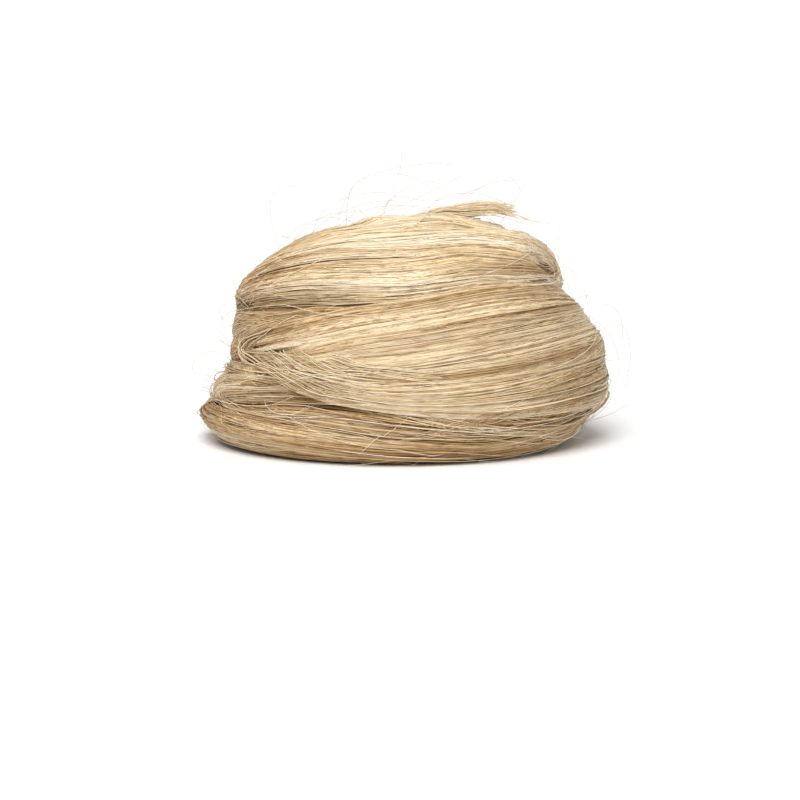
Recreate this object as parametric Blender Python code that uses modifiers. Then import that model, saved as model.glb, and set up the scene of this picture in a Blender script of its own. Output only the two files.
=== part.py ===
# A top knot hairpiece: one hank of straight blonde hair, wound into a bun about 80 mm wide.
# Four wound locks and an under lock lie on each other in a ring round a hollow for the wearer's
# own knot. A domed coil closes the top, its loose ends lie over the dome, and a flat elastic
# band sits in the mouth of the hollow.
# +Z is up. Angles run from +X (the bun's right) through +Y (its back). The front is at 270.

import math
from collections import namedtuple

import bmesh
import bpy
from mathutils import Vector

# Overall sizes, in metres
BUN_WIDTH = 0.080
BUN_DEPTH = 0.076
BUN_HEIGHT = 0.0445

# The hollow under the bun, and the band in its mouth
HOLLOW_RADIUS = 0.0175
HOLLOW_DEPTH = 0.0235
BAND_THICKNESS = 0.0022
BAND_HEIGHT = 0.004
BAND_EDGE = 0.00045
BAND_CLEARANCE = 0.0003

# How the hair lies
LOCK_GAP = 0.0004
RIB_DEPTH = 0.0009
SWIRL_DEPTH = 0.0014
SWIRL_TURNS = 1.5
SWIRL_END = 0.92
PIT_DEPTH = 0.0045
PIT_RADIUS = 0.0045

# The eye, a dent at the dome's right where its last turn folds in
EYE_DEPTH = 0.0032
EYE_HEIGHT = 0.0026
EYE_LENGTH = 0.0070
CREASE_DEPTH = 0.0010
CREASE_LENGTH = 0.0160
CREASE_SLOPE = 0.12

# The loose ends on the dome
END_LENGTH = 0.0250
END_WIDTH = 0.0056
END_THICKNESS = 0.0030
END_LIFT = 0.0028
END_TIP = 0.40
END_CLEARANCE = 0.0003

# Counts
STATIONS = 60
CORNER_POINTS = 8
DOME_POINTS = 14
RIBS = 4
DOME_RIBS = 4
BAND_STEPS = 48
END_STATIONS = 12
END_SIDES = 8

# Where each lock's top lies round the bun, as shares of BUN_HEIGHT
Seam = namedtuple("Seam", "angle bottom under lower middle")
SEAMS = (
    Seam(0, 0.168, 0.172, 0.508, 0.663),
    Seam(30, 0.150, 0.154, 0.450, 0.660),
    Seam(60, 0.135, 0.139, 0.371, 0.635),
    Seam(90, 0.130, 0.134, 0.315, 0.590),
    Seam(120, 0.145, 0.149, 0.290, 0.550),
    Seam(150, 0.175, 0.179, 0.315, 0.542),
    Seam(180, 0.195, 0.200, 0.360, 0.562),
    Seam(210, 0.190, 0.226, 0.380, 0.618),
    Seam(240, 0.162, 0.254, 0.386, 0.655),
    Seam(270, 0.121, 0.229, 0.425, 0.672),
    Seam(300, 0.103, 0.187, 0.483, 0.722),
    Seam(330, 0.140, 0.175, 0.523, 0.710),
)

# A lock's section: outer is a share of the bun's plan radius, bulge is where on its height the
# lock is widest, and the rounds are shares of its depth from the hollow to the outside. A
# shoulder of 2 is an oval round, and one near 1 is a straight slope.
Section = namedtuple("Section", "angle outer bulge low_round high_round shoulder")
BOTTOM_SECTIONS = (
    Section(0, 0.930, 0.94, 0.74, 0.10, 2.0),
    Section(60, 0.945, 0.80, 0.55, 0.12, 2.0),
    Section(120, 0.965, 0.70, 0.50, 0.16, 2.0),
    Section(180, 1.000, 0.70, 0.60, 0.28, 1.6),
    Section(240, 0.965, 0.62, 0.52, 0.16, 2.0),
    Section(300, 0.925, 0.92, 0.66, 0.08, 2.0),
)
UNDER_SECTIONS = (
    Section(0, 0.925, 0.50, 0.12, 0.12, 2.0),
    Section(60, 0.925, 0.50, 0.12, 0.12, 2.0),
    Section(120, 0.925, 0.50, 0.12, 0.12, 2.0),
    Section(180, 0.905, 0.50, 0.12, 0.12, 2.0),
    Section(240, 0.905, 0.50, 0.12, 0.12, 2.0),
    Section(300, 0.945, 0.50, 0.08, 0.08, 2.0),
)
LOWER_SECTIONS = (
    Section(0, 1.000, 0.30, 0.10, 0.15, 1.9),
    Section(60, 0.975, 0.38, 0.13, 0.16, 2.0),
    Section(120, 0.955, 0.42, 0.14, 0.18, 2.0),
    Section(180, 0.925, 0.12, 0.08, 0.22, 1.2),
    Section(240, 0.950, 0.40, 0.18, 0.22, 1.8),
    Section(300, 0.985, 0.45, 0.10, 0.08, 2.0),
)
MIDDLE_SECTIONS = (
    Section(0, 0.915, 0.06, 0.05, 0.40, 1.35),
    Section(60, 0.895, 0.30, 0.12, 0.28, 1.8),
    Section(120, 0.865, 0.46, 0.15, 0.20, 2.0),
    Section(180, 0.828, 0.45, 0.12, 0.14, 2.0),
    Section(240, 0.885, 0.50, 0.18, 0.28, 1.8),
    Section(300, 0.925, 0.34, 0.06, 0.30, 1.7),
)

# The dome: shoulder is the power of its rounding, and a higher one is fuller
Dome = namedtuple("Dome", "angle outer bulge shoulder low_round")
DOME_SECTIONS = (
    Dome(0, 0.778, 0.08, 2.4, 0.07),
    Dome(60, 0.790, 0.12, 2.1, 0.10),
    Dome(120, 0.800, 0.14, 1.9, 0.12),
    Dome(180, 0.810, 0.14, 1.6, 0.10),
    Dome(240, 0.805, 0.16, 1.8, 0.12),
    Dome(300, 0.800, 0.10, 2.2, 0.09),
)

# The loose ends: turn is where each points, and the rest are shares of END_WIDTH, END_LENGTH,
# END_WIDTH again and END_LIFT
End = namedtuple("End", "turn aside length width lift")
LOOSE_ENDS = (
    End(8, 0.28, 0.95, 0.85, 1.00),
    End(-2, 0.00, 1.00, 1.00, 0.62),
    End(-12, -0.30, 0.90, 0.80, 0.25),
)

# Places that the tables leave to the whole bun's form
UNDER_START = 196
UNDER_END = 344
EYE_ANGLE = 340
EYE_LEVEL = 0.762
HAIR_COLOUR = (0.79, 0.63, 0.40, 1)
SHADED_HAIR_COLOUR = (0.62, 0.45, 0.26, 1)
ELASTIC_COLOUR = (0.55, 0.42, 0.28, 1)


def clear_scene():
    for old in list(bpy.data.objects):
        bpy.data.objects.remove(old)


def new_collection(name):
    collection = bpy.data.collections.new(name)
    bpy.context.scene.collection.children.link(collection)
    return collection


def material(name, colour, roughness):
    made = bpy.data.materials.new(name)
    made.use_nodes = True
    shader = made.node_tree.nodes["Principled BSDF"]
    shader.inputs["Base Color"].default_value = colour
    shader.inputs["Roughness"].default_value = roughness
    shader.inputs["Metallic"].default_value = 0
    return made


def around(rows, column, angle):
    """A column's value at an angle, on a smooth closed curve through the rows."""
    count = len(rows)
    place = (angle % 360) * count / 360
    first = int(place) % count
    share = place - int(place)
    before, here, after, beyond = (getattr(rows[(first + k) % count], column) for k in (-1, 0, 1, 2))
    slope_here = (after - before) / 2
    slope_after = (beyond - here) / 2
    return (
        here * (2 * share**3 - 3 * share**2 + 1)
        + slope_here * (share**3 - 2 * share**2 + share)
        + after * (3 * share**2 - 2 * share**3)
        + slope_after * (share**3 - share**2)
    )


def plan_radius(angle):
    """The radius of the bun's oval plan in this direction."""
    across = math.cos(math.radians(angle)) / (BUN_WIDTH / 2)
    along = math.sin(math.radians(angle)) / (BUN_DEPTH / 2)
    return 1 / math.hypot(across, along)


def seam_height(column, angle):
    return BUN_HEIGHT * around(SEAMS, column, angle)


def rib(share, angle, ribs, turns):
    """How far the hair's ribs cut in, 0 at both seams. They drift with the lock's twist."""
    fade = math.sin(math.pi * share) ** 2
    wave = 0.5 - 0.5 * math.cos(2 * math.pi * (ribs * share + turns * angle / 360))
    return RIB_DEPTH * fade * wave


def round_corner(flat, reach, level, rise, shoulder, points):
    """Points of a rounded corner, from the flat face's edge out to the widest place."""
    return [
        (
            flat + reach * math.sin(turn) ** (2 / shoulder),
            level + rise * (1 - max(0, math.cos(turn)) ** (2 / shoulder)),
        )
        for turn in (math.pi / 2 * k / points for k in range(points + 1))
    ]


def lock_section(angle, sections, low, high, twist):
    """A ring lock's section as (radius, height) points: in along its top, down the hollow's wall,
    out along its underside and up round its outer face."""
    outer = plan_radius(angle) * around(sections, "outer", angle)
    depth = outer - HOLLOW_RADIUS
    widest = low + (high - low) * around(sections, "bulge", angle)
    low_reach = depth * around(sections, "low_round", angle)
    high_reach = depth * around(sections, "high_round", angle)
    shoulder = around(sections, "shoulder", angle)
    lower = round_corner(outer - low_reach, low_reach, low, widest - low, 2, CORNER_POINTS)
    upper = round_corner(
        outer - high_reach, high_reach, high, widest - high, shoulder, CORNER_POINTS
    )
    face = lower + upper[-2::-1]
    last = len(face) - 1
    ribbed = [(r - rib(k / last, angle, RIBS, twist), z) for k, (r, z) in enumerate(face)]
    return ribbed + [(HOLLOW_RADIUS, high), (HOLLOW_RADIUS, low)]


def dent(radius, angle, height):
    """How deep the eye and its crease cut into the dome here."""
    aside = math.radians((angle - EYE_ANGLE + 180) % 360 - 180) * radius
    above = height - EYE_LEVEL * BUN_HEIGHT
    eye = EYE_DEPTH * math.exp(-((aside / EYE_LENGTH) ** 2) - (above / EYE_HEIGHT) ** 2)
    crease_level = above + CREASE_SLOPE * min(aside, 0)
    reach = CREASE_LENGTH if aside < 0 else EYE_LENGTH
    crease = CREASE_DEPTH * math.exp(-((aside / reach) ** 2) - (crease_level / EYE_HEIGHT) ** 2)
    return eye + crease


def swirl(radius, share, angle):
    """How deep the spiral groove and the middle's pit cut down into the dome."""
    wave = max(0, math.cos(2 * math.pi * (angle / 360 - SWIRL_TURNS * share))) ** 3
    window = math.sin(math.pi * share / SWIRL_END) ** 0.5 if 0 < share < SWIRL_END else 0
    pit = PIT_DEPTH * math.exp(-((radius / PIT_RADIUS) ** 2))
    return SWIRL_DEPTH * wave * window + pit


def dome_section(angle):
    """The top coil's section, from its axis under the hollow's roof to its axis in the pit."""
    low = seam_height("middle", angle) + LOCK_GAP / 2
    outer = plan_radius(angle) * around(DOME_SECTIONS, "outer", angle)
    widest = low + (BUN_HEIGHT - low) * around(DOME_SECTIONS, "bulge", angle)
    shoulder = around(DOME_SECTIONS, "shoulder", angle)
    reach = outer * around(DOME_SECTIONS, "low_round", angle)
    corner = round_corner(outer - reach, reach, low, widest - low, 2, CORNER_POINTS // 2)
    points = [(HOLLOW_RADIUS / 2, (low + HOLLOW_DEPTH) / 2), (HOLLOW_RADIUS, low)]
    points += [(r - dent(r, angle, z), z) for r, z in corner]
    for k in range(1, DOME_POINTS):
        turn = math.pi / 2 * k / DOME_POINTS
        share = math.cos(turn) ** (2 / shoulder)
        rise = math.sin(turn) ** (2 / shoulder)
        radius = outer * share
        height = widest + (BUN_HEIGHT - widest) * rise
        inward = dent(radius, angle, height) + rib(k / DOME_POINTS, angle, DOME_RIBS, 1) * share
        points.append((radius - inward, height - swirl(radius, share, angle)))
    return points


def placed(angle, point):
    radius, height = point
    turn = math.radians(angle)
    return (radius * math.cos(turn), radius * math.sin(turn), height)


def joined(mesh, ring, next_ring, closed):
    """Faces between two rings of a loft, all round or open at the ends."""
    count = len(ring)
    for k in range(count if closed else count - 1):
        mesh.faces.new((ring[k], next_ring[k], next_ring[(k + 1) % count], ring[(k + 1) % count]))


def object_from(mesh, name, collection, finish):
    bmesh.ops.recalc_face_normals(mesh, faces=mesh.faces)
    data = bpy.data.meshes.new(name)
    mesh.to_mesh(data)
    mesh.free()
    data.shade_smooth()
    data.set_sharp_from_angle(angle=math.radians(50))
    data.materials.append(finish)
    made = bpy.data.objects.new(name, data)
    collection.objects.link(made)
    return made


def ring_lock(name, sections, low_seam, high_seam, twist, collection, finish):
    """A wound lock that goes all round, between the seams below and above it."""
    mesh = bmesh.new()
    rings = []
    for k in range(STATIONS):
        angle = 360 * k / STATIONS
        low = seam_height(low_seam, angle) + LOCK_GAP / 2 if low_seam else 0
        high = seam_height(high_seam, angle) - LOCK_GAP / 2
        section = lock_section(angle, sections, low, high, twist)
        rings.append([mesh.verts.new(placed(angle, point)) for point in section])
    for k in range(STATIONS):
        joined(mesh, rings[k], rings[(k + 1) % STATIONS], closed=True)
    return object_from(mesh, name, collection, finish)


def part_lock(name, sections, low_seam, high_seam, start, end, twist, collection, finish):
    """A lock that goes part of the way round and thins out between its neighbours."""
    mesh = bmesh.new()
    count = round(STATIONS * (end - start) / 360)
    rings = []
    for k in range(count + 1):
        angle = start + (end - start) * k / count
        low = seam_height(low_seam, angle) + LOCK_GAP / 2
        high = seam_height(high_seam, angle) - LOCK_GAP / 2
        section = lock_section(angle, sections, low, high, twist)
        rings.append([mesh.verts.new(placed(angle, point)) for point in section])
    for k in range(count):
        joined(mesh, rings[k], rings[k + 1], closed=True)
    mesh.faces.new(rings[0])
    mesh.faces.new(rings[-1])
    return object_from(mesh, name, collection, finish)


def top_coil(collection, finish):
    """The domed coil, lofted round its own axis between a point below and a point in the pit."""
    mesh = bmesh.new()
    bottom = mesh.verts.new((0, 0, HOLLOW_DEPTH))
    top = mesh.verts.new((0, 0, BUN_HEIGHT - PIT_DEPTH))
    rings = []
    for k in range(STATIONS):
        angle = 360 * k / STATIONS
        rings.append([mesh.verts.new(placed(angle, point)) for point in dome_section(angle)])
    for k in range(STATIONS):
        ring, next_ring = rings[k], rings[(k + 1) % STATIONS]
        joined(mesh, ring, next_ring, closed=False)
        mesh.faces.new((bottom, next_ring[0], ring[0]))
        mesh.faces.new((top, ring[-1], next_ring[-1]))
    return object_from(mesh, "top_coil", collection, finish)


def dome_height(x, y):
    """The height of the dome's surface over a place, without its swirl but with its pit."""
    angle = math.degrees(math.atan2(y, x))
    low = seam_height("middle", angle) + LOCK_GAP / 2
    outer = plan_radius(angle) * around(DOME_SECTIONS, "outer", angle)
    widest = low + (BUN_HEIGHT - low) * around(DOME_SECTIONS, "bulge", angle)
    shoulder = around(DOME_SECTIONS, "shoulder", angle)
    radius = math.hypot(x, y)
    rise = (1 - min(1, radius / outer) ** shoulder) ** (1 / shoulder)
    pit = PIT_DEPTH * math.exp(-((radius / PIT_RADIUS) ** 2))
    return widest + (BUN_HEIGHT - widest) * rise - pit


def loose_end(name, end, collection, finish):
    """One tapered end: out of the pit, over the dome and a little up at its tip."""
    mesh = bmesh.new()
    turn = math.radians(end.turn)
    along = Vector((math.cos(turn), math.sin(turn), 0))
    aside = Vector((-math.sin(turn), math.cos(turn), 0))
    root = aside * (end.aside * END_WIDTH)
    rings = []
    for k in range(END_STATIONS):
        share = k / (END_STATIONS - 1)
        middle = root + along * (END_LENGTH * end.length * share - PIT_RADIUS / 2)
        taper = END_TIP + (1 - END_TIP) * math.sin(math.pi * share)
        wide = END_WIDTH / 2 * end.width * taper
        thick = END_THICKNESS / 2 * taper
        floor = max(dome_height(*(middle + aside * side).to_2d()) for side in (-wide, 0, wide))
        middle.z = floor + END_CLEARANCE + thick + END_LIFT * end.lift * share**2
        rings.append(
            [
                mesh.verts.new(
                    middle
                    + aside * (wide * math.cos(2 * math.pi * side / END_SIDES))
                    + Vector((0, 0, thick * math.sin(2 * math.pi * side / END_SIDES)))
                )
                for side in range(END_SIDES)
            ]
        )
    for k in range(END_STATIONS - 1):
        joined(mesh, rings[k], rings[k + 1], closed=True)
    mesh.faces.new(rings[0])
    mesh.faces.new(rings[-1])
    return object_from(mesh, name, collection, finish)


def loose_ends(collection, cutters, finish):
    """The ends fused into one tuft."""
    parts = [
        loose_end(f"loose_end_{k}", end, cutters if k else collection, finish)
        for k, end in enumerate(LOOSE_ENDS)
    ]
    tuft = parts[0]
    tuft.name = "loose_ends"
    for other in parts[1:]:
        other.hide_render = True
        other.display_type = "WIRE"
        join = tuft.modifiers.new("join " + other.name, "BOOLEAN")
        join.operation = "UNION"
        join.object = other
    return tuft


def elastic_band(collection, finish):
    """A flat elastic ring, turned from its section."""
    outer = HOLLOW_RADIUS - BAND_CLEARANCE
    inner = outer - BAND_THICKNESS
    section = (
        (outer, BAND_HEIGHT - BAND_EDGE),
        (outer, BAND_EDGE),
        (outer - BAND_EDGE, 0),
        (inner + BAND_EDGE, 0),
        (inner, BAND_EDGE),
        (inner, BAND_HEIGHT - BAND_EDGE),
        (inner + BAND_EDGE, BAND_HEIGHT),
        (outer - BAND_EDGE, BAND_HEIGHT),
    )
    data = bpy.data.meshes.new("elastic_band")
    edges = [(k, (k + 1) % len(section)) for k in range(len(section))]
    data.from_pydata([(radius, 0, height) for radius, height in section], edges, [])
    data.materials.append(finish)
    band = bpy.data.objects.new("elastic_band", data)
    collection.objects.link(band)
    turn = band.modifiers.new("turn", "SCREW")
    turn.steps = BAND_STEPS
    turn.render_steps = BAND_STEPS
    turn.use_merge_vertices = True
    turn.merge_threshold = 0.00005
    return band


def build():
    clear_scene()
    bun = new_collection("top_knot_hairpiece")
    cutters = new_collection("joined_shapes")
    hair = material("blonde_hair", HAIR_COLOUR, 0.45)
    shaded = material("shaded_hair", SHADED_HAIR_COLOUR, 0.55)
    elastic = material("elastic", ELASTIC_COLOUR, 0.75)
    elastic_band(bun, elastic)
    ring_lock("bottom_lock", BOTTOM_SECTIONS, None, "bottom", 0.0, bun, hair)
    part_lock("under_lock", UNDER_SECTIONS, "bottom", "under", UNDER_START, UNDER_END, 0.0, bun, shaded)
    ring_lock("lower_lock", LOWER_SECTIONS, "under", "lower", 1.0, bun, hair)
    ring_lock("middle_lock", MIDDLE_SECTIONS, "lower", "middle", -1.0, bun, hair)
    top_coil(bun, hair)
    loose_ends(bun, cutters, hair)


build()
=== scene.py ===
# Top knot hairpiece: every lock's hair, laid strand by strand over the wound bun
import math
from collections import namedtuple

import bpy
import numpy as np
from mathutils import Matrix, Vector
from mathutils.bvhtree import BVHTree


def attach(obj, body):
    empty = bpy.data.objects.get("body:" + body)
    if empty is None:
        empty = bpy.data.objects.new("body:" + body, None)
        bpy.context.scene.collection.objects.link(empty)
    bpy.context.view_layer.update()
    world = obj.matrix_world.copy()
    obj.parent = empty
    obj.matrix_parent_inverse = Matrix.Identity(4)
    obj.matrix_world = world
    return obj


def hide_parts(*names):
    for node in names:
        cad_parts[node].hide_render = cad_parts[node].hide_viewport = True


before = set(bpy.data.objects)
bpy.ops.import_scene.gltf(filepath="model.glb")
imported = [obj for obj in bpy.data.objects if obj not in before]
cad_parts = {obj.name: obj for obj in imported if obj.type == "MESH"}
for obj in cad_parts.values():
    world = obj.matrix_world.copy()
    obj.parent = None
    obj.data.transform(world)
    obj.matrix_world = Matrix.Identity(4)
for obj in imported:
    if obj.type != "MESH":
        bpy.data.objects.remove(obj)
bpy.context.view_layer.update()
bpy.ops.object.select_all(action="DESELECT")
print("frame loaded:", ", ".join(sorted(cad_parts)))

# Shader maths: a socket that can be added to, multiplied and so on


class Wire:
    def __init__(self, tree, socket=None):
        self.tree = tree
        self.socket = socket

    def add(self, kind, settings=None, values=None, output=0):
        made = self.tree.nodes.new(kind)
        for key, value in (settings or {}).items():
            if key == "stops":
                setStops(made.color_ramp, value)
            else:
                setattr(made, key, value)
        for key, value in (values or {}).items():
            if isinstance(value, Wire):
                self.tree.links.new(value.socket, made.inputs[key])
            else:
                made.inputs[key].default_value = value
        return Wire(self.tree, made.outputs[output] if made.outputs else None)

    def maths(self, operation, *values):
        return self.add("ShaderNodeMath", {"operation": operation}, dict(enumerate(values)))

    def __add__(self, other):
        return self.maths("ADD", self, other)

    def __sub__(self, other):
        return self.maths("SUBTRACT", self, other)

    def __mul__(self, other):
        return self.maths("MULTIPLY", self, other)


def setStops(ramp, stops):
    while len(ramp.elements) < len(stops):
        ramp.elements.new(0.5)
    for element, (place, colour) in zip(ramp.elements, stops):
        element.position = place
        element.color = (*colour, 1)


def newMaterial(name):
    made = bpy.data.materials.new(name)
    made.use_nodes = True
    made.node_tree.nodes.clear()
    return made, Wire(made.node_tree)


def finishMaterial(wire, values):
    shader = wire.add("ShaderNodeBsdfPrincipled", None, values)
    wire.add("ShaderNodeOutputMaterial", None, {"Surface": shader})


def ramped(wire, value, stops):
    return wire.add("ShaderNodeValToRGB", {"stops": stops}, {"Fac": value})


def bumped(wire, height, look):
    values = {"Height": height, "Strength": look["bump"], "Distance": look["bumpDepth"]}
    return wire.add("ShaderNodeBump", None, values)


# Hair

hairLook = {
    "ash": (  # cool blonde, from the darkest strands to the palest
        (0.00, (0.135, 0.066, 0.022)),
        (0.14, (0.330, 0.180, 0.068)),
        (0.35, (0.555, 0.368, 0.182)),
        (0.70, (0.812, 0.682, 0.478)),
        (1.00, (0.932, 0.850, 0.705)),
    ),
    "gold": (  # the same with more honey in it
        (0.00, (0.140, 0.062, 0.017)),
        (0.14, (0.338, 0.173, 0.056)),
        (0.35, (0.556, 0.352, 0.150)),
        (0.70, (0.808, 0.640, 0.386)),
        (1.00, (0.918, 0.802, 0.590)),
    ),
    "mottle": 260.0,  # how fine the change of tone along a strand is
    "mottleDetail": 2.0,
    "mottleAmount": 0.12,
    "roughness": 0.34,
    "roughnessSpread": 0.16,
    # shaded_hair is the same hair with less sheen, a shaded copy for hair laid in shade
    "specular": {"blonde_hair": 0.42, "shaded_hair": 0.12},
}


def hairMaterial(name):
    made, wire = newMaterial(name)
    # tone: each strand's own tone, with painted light and shade added by place
    tone = wire.add("ShaderNodeAttribute", {"attribute_name": "tone"}, output="Fac")
    warm = wire.add("ShaderNodeAttribute", {"attribute_name": "warm"}, output="Fac")
    place = wire.add("ShaderNodeTexCoord", output="Object")
    grain = {"Vector": place, "Scale": hairLook["mottle"], "Detail": hairLook["mottleDetail"]}
    mottle = wire.add("ShaderNodeTexNoise", None, grain)
    shade = tone + (mottle - 0.5) * hairLook["mottleAmount"]
    ash, gold = (ramped(wire, shade, hairLook[kind]) for kind in ("ash", "gold"))
    mixed = wire.add("ShaderNodeMix", {"data_type": "RGBA"}, {0: warm, 6: ash, 7: gold}, output=2)
    values = {
        "Base Color": mixed,
        "Roughness": mottle * hairLook["roughnessSpread"] + hairLook["roughness"],
        "Specular IOR Level": hairLook["specular"][name],
    }
    finishMaterial(wire, values)
    return made


# The imported hair under the loose strands, which shows in the gaps and inside the hollow. It is
# coloured darker than the loose strands: partly the packed hair's own colour and partly painted
# shade for the gaps and the hollow

coreLook = {
    # colours darker than the loose strands': painted shade in the gaps
    "colours": ((0.35, (0.300, 0.170, 0.075)), (0.65, (0.580, 0.405, 0.215))),
    "streaks": 900.0,  # across the hair
    "length": 9.0,  # round the bun
    "detail": 3.0,
    "roughness": 0.55,
    "bump": 0.6,
    "bumpDepth": 0.0002,
}


def coreMaterial():
    made, wire = newMaterial("packed_hair_and_shade")
    place = wire.add("ShaderNodeTexCoord", output="Object")
    x, y, z = (wire.add("ShaderNodeSeparateXYZ", None, {0: place}, output=k) for k in range(3))
    turn = wire.maths("ARCTAN2", y, x) * coreLook["length"]
    radius = wire.maths("SQRT", x * x + y * y) * coreLook["streaks"]
    across = wire.add("ShaderNodeCombineXYZ", None, {0: turn, 1: radius, 2: z * coreLook["streaks"]})
    grain = {"Vector": across, "Scale": 1.0, "Detail": coreLook["detail"]}
    streak = wire.add("ShaderNodeTexNoise", None, grain)
    values = {
        "Base Color": ramped(wire, streak, coreLook["colours"]),
        "Roughness": coreLook["roughness"],
        "Normal": bumped(wire, streak, coreLook),
    }
    finishMaterial(wire, values)
    return made


# The elastic band's woven cover

bandLook = {
    "colours": ((0.25, (0.230, 0.150, 0.080)), (0.75, (0.560, 0.410, 0.250))),  # gap and thread
    "ribs": 220,  # threads round the band
    "rows": 1100.0,  # cross threads, by height
    "weave": 0.25,
    "fluff": 2500.0,
    "fluffAmount": 0.4,
    "roughness": 0.8,
    "bump": 0.7,
    "bumpDepth": 0.00015,
}


def bandMaterial():
    made, wire = newMaterial("woven_elastic")
    place = wire.add("ShaderNodeTexCoord", output="Object")
    x, y, z = (wire.add("ShaderNodeSeparateXYZ", None, {0: place}, output=k) for k in range(3))
    rib = wire.maths("SINE", wire.maths("ARCTAN2", y, x) * bandLook["ribs"])
    row = wire.maths("SINE", z * (bandLook["rows"] * 2 * math.pi))
    fluff = wire.add("ShaderNodeTexNoise", None, {"Vector": place, "Scale": bandLook["fluff"]})
    weave = rib * row * bandLook["weave"] + rib * bandLook["weave"] + 0.5
    height = weave + (fluff - 0.5) * bandLook["fluffAmount"]
    values = {
        "Base Color": ramped(wire, height, bandLook["colours"]),
        "Roughness": bandLook["roughness"],
        "Normal": bumped(wire, height, bandLook),
    }
    finishMaterial(wire, values)
    return made


hairMaterials = {name: hairMaterial(name) for name in hairLook["specular"]}
packedHairAndShade = coreMaterial()
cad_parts["elastic_band"].data.materials.clear()
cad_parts["elastic_band"].data.materials.append(bandMaterial())
print("materials made")

# The surface that the hair lies on. A place on it is an angle round the bun, 0 at its right,
# 90 behind, 180 left and 270 in front, and a level: 0 at the ground, 1 at the bottom lock's top,
# 2 at the lower lock's underside, 3 at its top, 4 at the middle lock's top, 5 on the dome's middle

bun = {
    "core": Vector((0, 0, 0.016)),  # the whole outside can be seen from here
    "castFrom": 0.085,
    "cadStations": 60,
    "stations": 180,
    "lowest": -42.0,  # degrees below the horizon
    "rays": 331,
    "levelSteps": 50,  # from one seam to the next
    "seams": 5,
    "groundClearance": 0.0003,
    "closing": 6.0,  # degrees to each side of a groove that the hair fills
    "closeTo": 9.0,  # degrees from a seam within which it does
    "bridged": 0.92,
    "recessFade": 24,  # degrees over which a groove opens and closes
    "softening": (2, 2),  # rounds up and down, then round the bun
    "bridgeSoftening": (14, 5),
    "normalSoftening": 6,
    "columnPoints": 501,
}
lockNames = ("bottom_lock", "under_lock", "lower_lock", "middle_lock", "top_coil")

# The dome's hair lies a little lower behind than the solid does
settled = {
    "x": -0.001,
    "left": 0.0115,
    "right": 0.015,
    "front": -0.004,
    "fade": 0.010,
    "drop": 0.0020,
    "fromLevel": 4.15,
    "overLevels": 0.35,
}

# The dark eye at the right end of the top coil, where its hair turns in. Its darkness is painted
# shade: the shading table darkens the hair there and dark hairs are laid in it
eye = {
    "angle": 343.0,
    "height": 0.0340,
    "tilt": 33.0,
    "calmWide": 15.0,  # degrees round it where the surface is made smoother
    "calmTall": 9.0,
    "calmSoftening": (150, 14),
    "turn": 9.0,
    "reach": 0.030,
    "fade": 0.06,
    "slant": 0.0026,
    "core": 0.008,
}

# Where a groove stays open under the hair, and how much of it
Recess = namedtuple("Recess", "seam start end share")
recesses = (
    Recess(4, 202, 256, 0.62),
    Recess(2, 228, 268, 0.50),
    Recess(1, 218, 275, 0.40),
    Recess(4, 334, 400, 0.60),
    Recess(4, 400, 520, 0.45),
    Recess(3, 380, 510, 0.35),
)


def settledBy(x, y):
    wide = np.where(x < settled["x"], settled["left"], settled["right"])
    share = np.exp(-(((x - settled["x"]) / wide) ** 2))
    return settled["drop"] * share * ease((y - settled["front"]) / settled["fade"])


def vertexTable(mesh):
    table = np.empty(len(mesh.vertices) * 3)
    mesh.vertices.foreach_get("co", table)
    return table.reshape(-1, 3)


def seamHeights(name, pick, turns):
    table = vertexTable(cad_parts[name].data)
    count = bun["cadStations"]
    station = np.round(np.degrees(np.arctan2(table[:, 1], table[:, 0])) * count / 360).astype(int)
    heights = [pick(table[station % count == k, 2]) for k in range(count)]
    return np.interp(turns, np.arange(count) * 360 / count, heights, period=360)


def outerTree(names):
    points, faces = [], []
    for name in names:
        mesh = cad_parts[name].data
        first = len(points)
        points += [vertex.co.copy() for vertex in mesh.vertices]
        faces += [[first + k for k in face.vertices] for face in mesh.polygons]
    return BVHTree.FromPolygons(points, faces)


def smoothed(table, axis, times, wrap):
    for _ in range(times):
        if wrap:
            before, after = np.roll(table, 1, axis), np.roll(table, -1, axis)
        else:
            ends = [(1, 1) if k == axis else (0, 0) for k in range(table.ndim)]
            padded = np.pad(table, ends, "edge")
            before = padded.take(range(0, table.shape[axis]), axis)
            after = padded.take(range(2, table.shape[axis] + 2), axis)
        table = (before + 2 * table + after) / 4
    return table


def filled(reach, half):
    wide = np.pad(reach, ((0, 0), (2 * half, 2 * half)), "edge")
    windows = np.lib.stride_tricks.sliding_window_view
    highest = windows(wide, 2 * half + 1, axis=1).max(-1)
    return windows(highest, 2 * half + 1, axis=1).min(-1)


def ease(values):
    held = np.clip(values, 0, 1)
    return held * held * (3 - 2 * held)


shortest = 1e-12  # so that nothing is divided by nothing


def unit(vectors):
    return vectors / np.maximum(np.linalg.norm(vectors, axis=-1, keepdims=True), shortest)


def bridgeShare(turn, tilt, seamTilts):
    share = np.zeros(len(tilt))
    fade = bun["recessFade"]
    for seam in range(1, bun["seams"]):
        near = np.exp(-(((tilt - seamTilts[seam]) / bun["closeTo"]) ** 2))
        opened = 0
        for recess in recesses:
            for lap in (0, 360):
                inside = min((turn + lap - recess.start) / fade, (recess.end - turn - lap) / fade)
                if recess.seam == seam:
                    opened = max(opened, recess.share * float(ease(inside + 0.5)))
        share = np.maximum(share, near * bun["bridged"] * (1 - opened))
    return share


def softened(table, tall, wide):
    return smoothed(smoothed(table, 1, tall, False), 0, wide, True)


def castReach(tree, turns, tilts):
    reach = np.empty((len(turns), len(tilts)))
    for i, turn in enumerate(np.radians(turns)):
        for j, tilt in enumerate(np.radians(tilts)):
            flat = math.cos(tilt)
            way = Vector((flat * math.cos(turn), flat * math.sin(turn), math.sin(tilt)))
            hit = tree.ray_cast(bun["core"] + way * bun["castFrom"], -way)[0]
            reach[i, j] = (hit - bun["core"]).length
    return reach


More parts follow.
